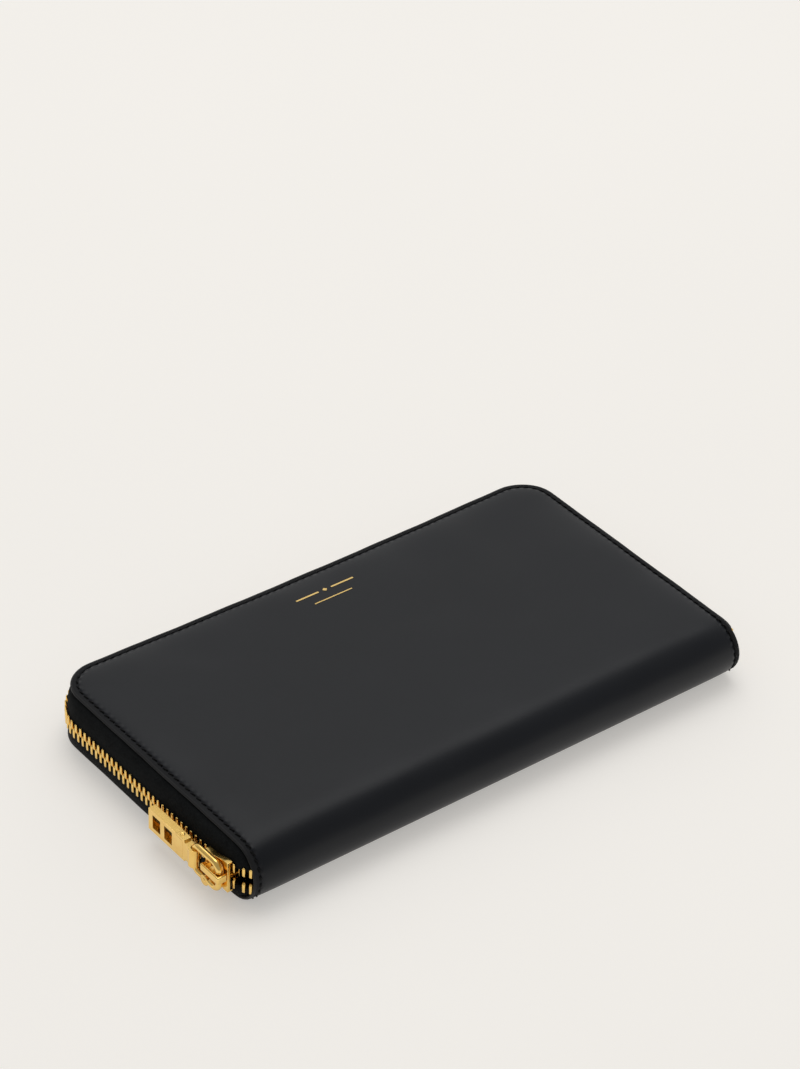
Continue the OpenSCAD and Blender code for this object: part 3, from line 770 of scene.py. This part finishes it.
def tape(upper):
    """Woven tape from under the lip to the corded edge that carries the teeth."""
    half, cord = 0.23, 0.52
    left, right = [], []
    for i, (u, z) in enumerate(TAPE_MIDDLE):
        a = TAPE_MIDDLE[max(0, i - 1)]
        b = TAPE_MIDDLE[min(len(TAPE_MIDDLE) - 1, i + 1)]
        d = math.hypot(b[0] - a[0], b[1] - a[1])
        nu, nz = (b[1] - a[1]) / d, -(b[0] - a[0]) / d
        left.append((u + nu * half, z + nz * half))
        right.append((u - nu * half, z - nz * half))
    top = TAPE_MIDDLE[-1][1]
    turns = [math.radians(-50 + 35 * k) for k in range(9)]
    bead = [(cord * math.cos(q), top + 0.35 + cord * math.sin(q)) for q in turns]
    section = left[:-1] + bead + right[:-1][::-1]
    lengths = [0.0]
    for a, b in zip(section, section[1:]):
        lengths.append(lengths[-1] + math.hypot(b[0] - a[0], b[1] - a[1]))
    stations = chain_stations()
    points, uvs = [], []
    n = len(section)
    top_z = section[len(left) + 3][1]
    for x, y, nx, ny, length in stations:
        tuck = smoothstep(TUCK_Y + 2, TUCK_Y - 8, y)
        open_row = row_spread(y) if x < 0 else 0.0
        wave = 0.10 * math.sin(length * 0.11) + 0.06 * math.sin(length * 0.37 + (1.0 if upper else 0.0))
        for (u, z), v in zip(section, lengths):
            t = smoothstep(2.0, top_z, z)
            z = z - open_row * t
            u = u + wave * math.sin(math.pi * min(1.0, max(0.0, (z - 2) / 6.5)))
            # near the spine the tape's foot rises inside the leather's curve
            if tuck > 0:
                reach = SPINE_R - 2.1
                dy = SPINE_Y - (y + ny * u)
                floor = MID_Z - math.sqrt(max(1.0, reach ** 2 - max(0.0, dy) ** 2))
                z = max(z, floor)
            px, py = x + nx * u, y + ny * u
            if upper:
                z = THICK - z - sag(px, py) * (1 - t)
            points.append((px, py, z))
            uvs.append((length, v))
    last = (len(stations) - 1) * n
    faces = tube_faces(len(stations), n) + [tuple(range(n))[::-1], tuple(range(last, last + n))]
    if upper:
        faces = [face[::-1] for face in faces]
    name = ("upper" if upper else "lower") + "_zip_tape"
    flat_width = sum(math.hypot(b[0] - a[0], b[1] - a[1]) for a, b in zip(TAPE_MIDDLE, TAPE_MIDDLE[1:]))
    return make(name + "_cloth", points, faces, TAPE, uvs), flat_width + 1.0, stations[-1][4]


def tooth_prototype():
    """One moulded tooth of the lower row: two legs that grip the cord and a rounded head."""
    half_w = 0.5
    leg = [(-1.2, -3.0), (-0.62, -3.0), (-0.5, -1.7)]
    head = [(1.24, -1.2), (1.2, -0.1), (0.85, 0.5), (0.4, 0.62)]
    outline = []
    for run in (leg, head):
        outline += run + [(-x, y) for x, y in reversed(run)]
    part = moved(extrude_outline(outline, 2 * half_w), place(y=half_w, tilt=90))
    piece = make("tooth", *part, GOLD)
    bevel(piece, 0.26, 2, 30)
    mesh = piece.data
    result = ([tuple(v.co / MM) for v in mesh.vertices], [tuple(p.vertices) for p in mesh.polygons])
    bpy.data.objects.remove(piece)
    return result


TOOTH = tooth_prototype()
LONG_LEN, TURN_LEN = 2 * TURN_X, CHAIN_R * math.pi / 2
CHAIN_LEN = 2 * TURN_LEN + LONG_LEN + TURN_Y - TUCK_Y


def chain_point(s):
    """Place and outward heading at length s from the start of the left corner."""
    if s < TURN_LEN:
        a = math.pi - s / CHAIN_R
        return -TURN_X + CHAIN_R * math.cos(a), TURN_Y + CHAIN_R * math.sin(a), math.degrees(a)
    if s < TURN_LEN + LONG_LEN:
        return -TURN_X + s - TURN_LEN, CHAIN_Y, 90.0
    if s < 2 * TURN_LEN + LONG_LEN:
        a = math.pi / 2 - (s - TURN_LEN - LONG_LEN) / CHAIN_R
        return TURN_X + CHAIN_R * math.cos(a), TURN_Y + CHAIN_R * math.sin(a), math.degrees(a)
    return CHAIN_X, TURN_Y - (s - 2 * TURN_LEN - LONG_LEN), 0.0


def stand(part, x, y, z, heading, upper):
    """A tooth set in the lower row, or in the upper one as its mirror image."""
    points, faces = moved(part, place(x, y, z, heading))
    if upper:
        points = [(px, py, THICK - pz) for px, py, pz in points]
        faces = [face[::-1] for face in faces]
    return points, faces


def main_teeth(upper):
    """One row of teeth from the left corner round to the right end."""
    shift = 0.0 if upper else 0.5
    count = int(CHAIN_LEN / TOOTH_PITCH - shift) + 1
    places = [chain_point((i + shift) * TOOTH_PITCH) for i in range(count)]
    parts = [stand(TOOTH, x, y, MID_Z, heading, upper) for x, y, heading in places]
    return make(("upper" if upper else "lower") + "_teeth", *merge(parts), GOLD)


def slider_side_teeth(upper):
    """One row along the left side and into the tuck, parted between the slider and the spine."""
    shift = 0.5 if upper else 0.0
    # teeth along the side, teeth in the tuck, and the tuck's first angle and step in degrees
    row, tucked, first, turn = 38, 2, 193, 16
    parts = []
    for i in range(row):
        y = TURN_Y - (i + 0.5 + shift) * TOOTH_PITCH
        if y > TUCK_Y:
            parts.append(stand(TOOTH, -CHAIN_X, y, MID_Z - row_spread(y), 180, upper))
    for i in range(tucked):
        a = math.radians(first + turn * i)
        x, y = -CHAIN_X + TUCK_R + TUCK_R * math.cos(a), TUCK_Y + TUCK_R * math.sin(a)
        parts.append(stand(TOOTH, x, y, MID_Z - SPREAD, math.degrees(a), upper))
    return make(("upper" if upper else "lower") + "_slider_teeth", *merge(parts), GOLD)


def from_cad(node, name, width, segments=3, material=GOLD):
    """A copy of a CAD node's shape with rounded edges."""
    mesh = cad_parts[node].data.copy()
    work = bmesh.new()
    work.from_mesh(mesh)
    bmesh.ops.remove_doubles(work, verts=work.verts, dist=1e-6)
    bmesh.ops.dissolve_limit(work, angle_limit=math.radians(2), verts=work.verts, edges=work.edges)
    work.to_mesh(mesh)
    work.free()
    mesh.materials.clear()
    mesh.materials.append(material)
    for polygon in mesh.polygons:
        polygon.material_index = 0
    piece = bpy.data.objects.new(name, mesh)
    bpy.context.scene.collection.objects.link(piece)
    while mesh.uv_layers:
        mesh.uv_layers.remove(mesh.uv_layers[0])
    return bevel(piece, width, segments, 30.0)


# ---------------- slider and pull
link_low, link_high = corners("pull_link")
bar_low, bar_high = corners("pull_bar")
LINK_BAR = 1.1
LINK_X = (bar_low.x + bar_high.x) / 2
PULL_Z = (bar_low.z + bar_high.z) / 2
LINK_HALF = link_high.z - PULL_Z


def upright(part, x, y, z):
    """Turns a part drawn in its XY plane so that its x runs along +Y, its y up and its z outwards (-X)."""
    turn = Matrix(((0, 0, -1, x), (1, 0, 0, y), (0, 1, 0, z), (0, 0, 0, 1)))
    points, faces = moved(part, turn)
    return points, [face[::-1] for face in faces]


def link_ring():
    """Closed link of round bar, with a boss on its lower side that takes the rivet."""
    length = (link_high.y - link_low.y) / 2 - LINK_BAR
    half = LINK_HALF - LINK_BAR
    path = rounded_rect(length, half, 2.6, 10)
    dense, spacing = [], 0.8
    for i, p in enumerate(path):
        q = path[(i + 1) % len(path)]
        gap = math.hypot(q[0] - p[0], q[1] - p[1])
        count = max(1, int(gap / spacing))
        for k in range(count):
            t = k / count
            dense.append((p[0] + (q[0] - p[0]) * t, p[1] + (q[1] - p[1]) * t))
    ring = round_bar(dense, LINK_BAR, 16)
    centre_y = (link_low.y + link_high.y) / 2
    body = make("link_ring", *upright(ring, LINK_X, centre_y, PULL_Z), GOLD)
    boss_r, boss_t, sides = 1.9, 2.3, 32
    angles = np.linspace(0, 2 * math.pi, sides + 1)[:-1]
    outline = [(boss_r * math.cos(a), boss_r * math.sin(a)) for a in angles]
    boss = upright(extrude_outline(outline, boss_t), LINK_X + boss_t / 2, centre_y, PULL_Z - half)
    lug = bevel(make("link_boss", *boss, GOLD), 0.35, 3, 35.0)
    return body, lug


def rivet(name, centre, axis, half, radius):
    """Round-headed rivet along X or Z, with a shallow ring pressed into each head."""
    steps = 28
    profile = [(0.0, half - 0.05), (radius * 0.45, half - 0.05), (radius * 0.55, half),
               (radius * 0.8, half - 0.05), (radius, half - 0.3)]
    rings = profile + [(r, -x) for r, x in profile[::-1]]
    points = []
    for r, along in rings:
        for k in range(steps):
            a = 2 * math.pi * k / steps
            u, v = r * math.cos(a), r * math.sin(a)
            offset = (along, u, v) if axis == "X" else (u, v, along)
            points.append(tuple(c + o for c, o in zip(centre, offset)))
    return outward(make(name, points, tube_faces(len(rings), steps), GOLD), weld=True)


# ---------------- interior
def rounded_path(points, radius, steps):
    """The same path with its corners rounded."""
    result = [Vector(points[0])]
    for before, here, after in zip(points, points[1:], points[2:]):
        before, here, after = Vector(before), Vector(here), Vector(after)
        back, ahead = (before - here).normalized(), (after - here).normalized()
        reach = min(radius, (before - here).length * 0.4, (after - here).length * 0.4)
        start, end = here + back * reach, here + ahead * reach
        for i in range(steps + 1):
            t = i / steps
            result.append((1 - t) ** 2 * start + 2 * t * (1 - t) * here + t ** 2 * end)
    return result + [Vector(points[-1])]


def ribbon(name, path, stations, thickness, material, lift):
    """Cloth of a folded section, and the section's developed width.

    path is the section, stations the places along it, and lift(p, station) places a point.
    """
    n = len(path)
    normals = []
    for i in range(n):
        d = (path[min(i + 1, n - 1)] - path[max(i - 1, 0)]).normalized()
        normals.append(Vector((-d.y, d.x)))
    lengths = [0.0]
    for a, b in zip(path, path[1:]):
        lengths.append(lengths[-1] + (b - a).length)
    points, uvs = [], []
    for station in stations:
        for side in (0.5, -0.5):
            order = range(n) if side > 0 else range(n - 1, -1, -1)
            for i in order:
                points.append(lift(path[i] + normals[i] * thickness * side, station))
                uvs.append((station, lengths[i]))
    ring = 2 * n
    faces = tube_faces(len(stations), ring)
    for end in (0, len(stations) - 1):
        for i in range(n - 1):
            a = end * ring
            faces.append((a + i, a + i + 1, a + ring - 2 - i, a + ring - 1 - i))
    return outward(make(name, points, faces, material, uvs)), lengths[-1]


# a gusset's folds from the card panel inwards, as places (x, z), and its run along y
GUSSET_FOLDS = ((91.5, 2.75), (91.5, 6.2), (78.5, 6.75), (90.5, 7.6), (72.8, 8.7))
GUSSET_Y0, GUSSET_Y1 = -43.0, 28.0


def gusset(side, upper):
    """Concertina side wall of one half, from the card panel's edge to the end of the coin pocket."""
    path = rounded_path(GUSSET_FOLDS, 1.4, 5)
    stations = list(np.linspace(GUSSET_Y0, GUSSET_Y1, 25))

    def lift(p, y):
        z = THICK - p.y if upper else p.y
        return side * (p.x + 0.25 * math.sin(y * 0.13) * smoothstep(2.9, 6, p.y)), y, z

    where = ("left" if side < 0 else "right") + ("_upper" if upper else "_lower")
    piece, width = ribbon(where + "_gusset_leather", path, stations, 0.36, LINING, lift)
    settle(piece, None, "lining_leather", where + "_gusset")
    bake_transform(piece)


# the coin zip: its line, first tooth, slider, pitch, the size of its teeth and the ends of its tapes
COIN_Y, COIN_X0, COIN_SLIDER_X, COIN_PITCH, COIN_SCALE, COIN_END = 38.0, -64.0, 60.0, 2.0, 0.68, 70.0


def coin_tape(upper):
    """Tape of the coin zip: sewn to the pocket wall, bowed out round the slider, and corded at the teeth."""
    path = rounded_path([(30.0, 2.35), (35.4, 2.35), (35.85, 3.9), (38.0, 3.9), (38.0, 1.55)], 0.7, 4)
    stations = list(np.linspace(-COIN_END, COIN_END, 60))

    def lift(p, x):
        y, h = p
        if y > 37.5:
            h = max(h, 1.55 + 1.1 * smoothstep(COIN_SLIDER_X - 4, COIN_SLIDER_X - 1.5, x))
        h += 0.07 * math.sin(x * 0.35) * smoothstep(37.5, 35.5, y)
        return x, y, MID_Z + h if upper else MID_Z - h

    name = "upper" if upper else "lower"
    piece, width = ribbon(name + "_coin_tape", path, stations, 0.34, TAPE, lift)
    settle(piece, "coin_pocket", "zip_tape", "coin_zip_tapes")


def coin_row(name, x0, x1):
    """Both rows of the coin zip's teeth from x0 to x1, parted beyond its slider."""
    count = int((x1 - x0) / COIN_PITCH)
    small = ([tuple(c * COIN_SCALE for c in p) for p in TOOTH[0]], TOOTH[1])
    parts = []
    for upper in (0, 1):
        for i in range(count + 1):
            x = x0 + (i + upper / 2) * COIN_PITCH
            w = x - COIN_SLIDER_X
            apart = 0.0 if w < -1 else min(1.1, (w + 1) * 0.24)
            parts.append(stand(small, x, COIN_Y, MID_Z - apart, 90, bool(upper)))
    return make(name, *merge(parts), GOLD)


def foil_marks():
    """Ornament stamped on the cover: two short rules with a lozenge between them and a rule below."""
    parts = []
    foil_lift = 0.07

    def plate(x0, x1, y0, y1):
        count = max(2, int((x1 - x0) / 1.2))
        flat, faces = [], grid_faces(2, count + 1)
        for y in (y0, y1):
            flat += [(x0 + (x1 - x0) * i / count, y) for i in range(count + 1)]
        return [pressed(x, y) for x, y in flat], faces

    def pressed(x, y):
        return x, y, wrap(x, EDGE_Y - y, outer_height(EDGE_Y - y, EDGE_Y - y))[2] + foil_lift

    for centre in (-7.0, 7.0):
        parts.append(plate(centre - 4.5, centre + 4.5, 40.95, 41.65))
    parts.append(plate(-7.5, 7.5, 36.27, 36.73))
    lozenge = ((0.9, 41.3), (0.0, 42.2), (-0.9, 41.3), (0.0, 40.4))
    parts.append(([pressed(x, y) for x, y in lozenge], [(0, 1, 2, 3)]))
    return make("foil_ornament", *merge(parts), FOIL)


# ---------------- build: covers
cover = leather_cover()
settle(cover, None, "cover_leather", "lower_cover", "upper_cover")
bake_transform(cover)
stitches = cover_stitches()
settle(stitches, None, "thread", "lower_stitching", "upper_stitching")
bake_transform(stitches)

lining = spine_lining()
settle(lining, None, "lining_leather", "lower_lining", "upper_lining")
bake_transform(lining)
settle(foil_marks(), "upper", "gold_foil", "foil_mark")

# ---------------- build: main zip
for upper in (False, True):
    half = "upper" if upper else "lower"
    cloth, width, length = tape(upper)
    settle(cloth, half, "zip_tape", half + "_zip_tape")
    settle(main_teeth(upper), half, "gold_metal", half + "_zip_teeth")
    settle(slider_side_teeth(upper), half, "gold_metal", half + "_slider_side_teeth")
    settle(from_cad(half + "_zip_stops", half + "_stops", 0.25, 2), half, "gold_metal", half + "_zip_stops")

settle(from_cad("slider_body", "main_slider_body", 0.32), "slider", "gold_metal", "slider_body")
settle(from_cad("slider_crown", "main_slider_crown", 0.4), "slider", "gold_metal", "slider_crown")
ring_body, ring_boss = link_ring()
settle(ring_body, "link", "gold_metal", "pull_link")
settle(ring_boss, "link", "gold_metal")
link_mid = (link_low.y + link_high.y) / 2
ring_rivet = rivet("ring_rivet", (LINK_X, link_mid, PULL_Z - LINK_HALF + LINK_BAR), "X", 1.34, 0.95)
settle(ring_rivet, "link", "gold_metal", "link_rivet")
settle(from_cad("pull_fork", "fork_eye", 0.3), "pull", "gold_metal", "pull_fork")
settle(from_cad("pull_bar", "open_pull_bar", 0.5), "pull", "gold_metal", "pull_bar")
rivet_low, rivet_high = corners("fork_rivet")
rivet_mid = (rivet_low + rivet_high) / 2
fork_pin = rivet("fork_pin", tuple(rivet_mid), "Z", rivet_high.z - rivet_mid.z, 0.85)
settle(fork_pin, "pull", "gold_metal", "fork_rivet")

# ---------------- build: interior
for half in ("lower", "upper"):
    for name in ("card_panel", "card_slot_1", "card_slot_2", "card_slot_3", "card_slot_4"):
        node = f"{half}_{name}"
        settle(from_cad(node, node + "_leather", 0.16, 2, LINING), half, "lining_leather", node)
for node, body in (("pocket_lower_wall", "coin_pocket"), ("pocket_upper_wall", "coin_pocket"),
                   ("pocket_spine_strip", "coin_pocket"), ("lower_bill_divider", "lower_leaf"),
                   ("upper_bill_divider", "upper_leaf")):
    settle(from_cad(node, node + "_leather", 0.18, 2, LINING), body, "lining_leather", node)
for node, body in (("coin_slider_body", "coin_slider"), ("coin_slider_crown", "coin_slider"),
                   ("coin_pull", "coin_pull")):
    settle(from_cad(node, node + "_metal", 0.18, 2), body, "gold_metal", node)
for side in (-1, 1):
    for upper in (False, True):
        gusset(side, upper)
for upper in (False, True):
    coin_tape(upper)
far_teeth = coin_row("coin_far_teeth", COIN_X0, COIN_X0 + 2 * COIN_PITCH)
settle(far_teeth, "coin_pocket", "gold_metal", "coin_zip_teeth")
near_teeth = coin_row("coin_teeth", COIN_X0 + 3 * COIN_PITCH, COIN_SLIDER_X + 6)
settle(near_teeth, "coin_pocket", "gold_metal", "coin_slider_side_teeth")
settle(from_cad("coin_zip_stops", "coin_stops", 0.2, 2), "coin_pocket", "gold_metal", "coin_zip_stops")
for upper in (False, True):
    board(upper)


# ---------------- studio
def studio():
    """Pale floor, a world that brightens towards the back, and one large soft light."""
    mesh = bpy.data.meshes.new("floor")
    size = 6.0
    square = [(x * size, y * size, 0) for x, y in ((-1, -1), (1, -1), (1, 1), (-1, 1))]
    mesh.from_pydata(square, [], [(0, 1, 2, 3)])
    floor = bpy.data.objects.new("floor", mesh)
    bpy.context.scene.collection.objects.link(floor)
    n = Nodes("floor_paper")
    tone = n.ramp(n.noise(3.0), [(0.3, FLOOR_TONE), (0.7, tuple(1.014 * c for c in FLOOR_TONE))])
    n.put(Specular_IOR_Level=0.1, Emission_Strength=FLOOR_GLOW)
    n.link(tone, n.bsdf.inputs["Emission Color"])
    floor.data.materials.append(n.finish(tone, spread_value(n, n.noise(40.0), 0.85, 0.95)))

    world = bpy.data.worlds.new("studio")
    world.use_nodes = True
    tree = world.node_tree
    background = tree.nodes["Background"]
    direction = tree.nodes.new("ShaderNodeTexCoord")
    along = tree.nodes.new("ShaderNodeVectorMath")
    along.operation = "DOT_PRODUCT"
    along.inputs[1].default_value = WORLD_AXIS
    ramp = tree.nodes.new("ShaderNodeValToRGB")
    remap = tree.nodes.new("ShaderNodeMath")
    remap.operation = "MULTIPLY_ADD"
    remap.inputs[1].default_value = remap.inputs[2].default_value = 0.5
    for element, (at, value) in zip(ramp.color_ramp.elements, ((0.45, WORLD_FRONT), (1.0, WORLD_BACK))):
        element.position = at
        element.color = (value, value * 0.99, value * 0.97, 1.0)
    tree.links.new(direction.outputs["Generated"], along.inputs[0])
    tree.links.new(along.outputs["Value"], remap.inputs[0])
    tree.links.new(remap.outputs[0], ramp.inputs[0])
    tree.links.new(ramp.outputs[0], background.inputs["Color"])
    background.inputs["Strength"].default_value = 1.0
    bpy.context.scene.world = world

    light = bpy.data.lights.new("softbox_over", "AREA")
    light.shape = "RECTANGLE"
    light.size, light.size_y = KEY_SIZE
    light.energy = KEY_POWER
    lamp = bpy.data.objects.new("softbox_over", light)
    lamp.location = KEY_AT
    aim = (0, 0, 0.01)
    lamp.rotation_euler = (Vector(aim) - Vector(KEY_AT)).to_track_quat("-Z", "Y").to_euler()
    bpy.context.scene.collection.objects.link(lamp)


def camera():
    """Camera that looks at the wallet from CAM_AZIMUTH and CAM_ELEVATION, shifted in its own plane."""
    a, e, r = (math.radians(v) for v in (CAM_AZIMUTH, CAM_ELEVATION, CAM_ROLL))
    back = Vector((math.sin(a) * math.cos(e), -math.cos(a) * math.cos(e), math.sin(e)))
    right = (-back).cross(Vector((0, 0, 1))).normalized()
    up = right.cross(-back)
    rolled_right = right * math.cos(r) + up * math.sin(r)
    rolled_up = up * math.cos(r) - right * math.sin(r)
    data = bpy.data.cameras.new("camera")
    data.lens, data.sensor_width = CAM_LENS, SENSOR
    lens = bpy.data.objects.new("camera", data)
    turn = Matrix((rolled_right, rolled_up, back)).transposed().to_4x4()
    where = (back * CAM_DISTANCE + right * CAM_RIGHT + up * CAM_UP) * MM
    lens.matrix_world = Matrix.Translation(where) @ turn
    bpy.context.scene.collection.objects.link(lens)
    bpy.context.scene.camera = lens


studio()
camera()
bpy.context.scene.view_settings.view_transform = "Standard"
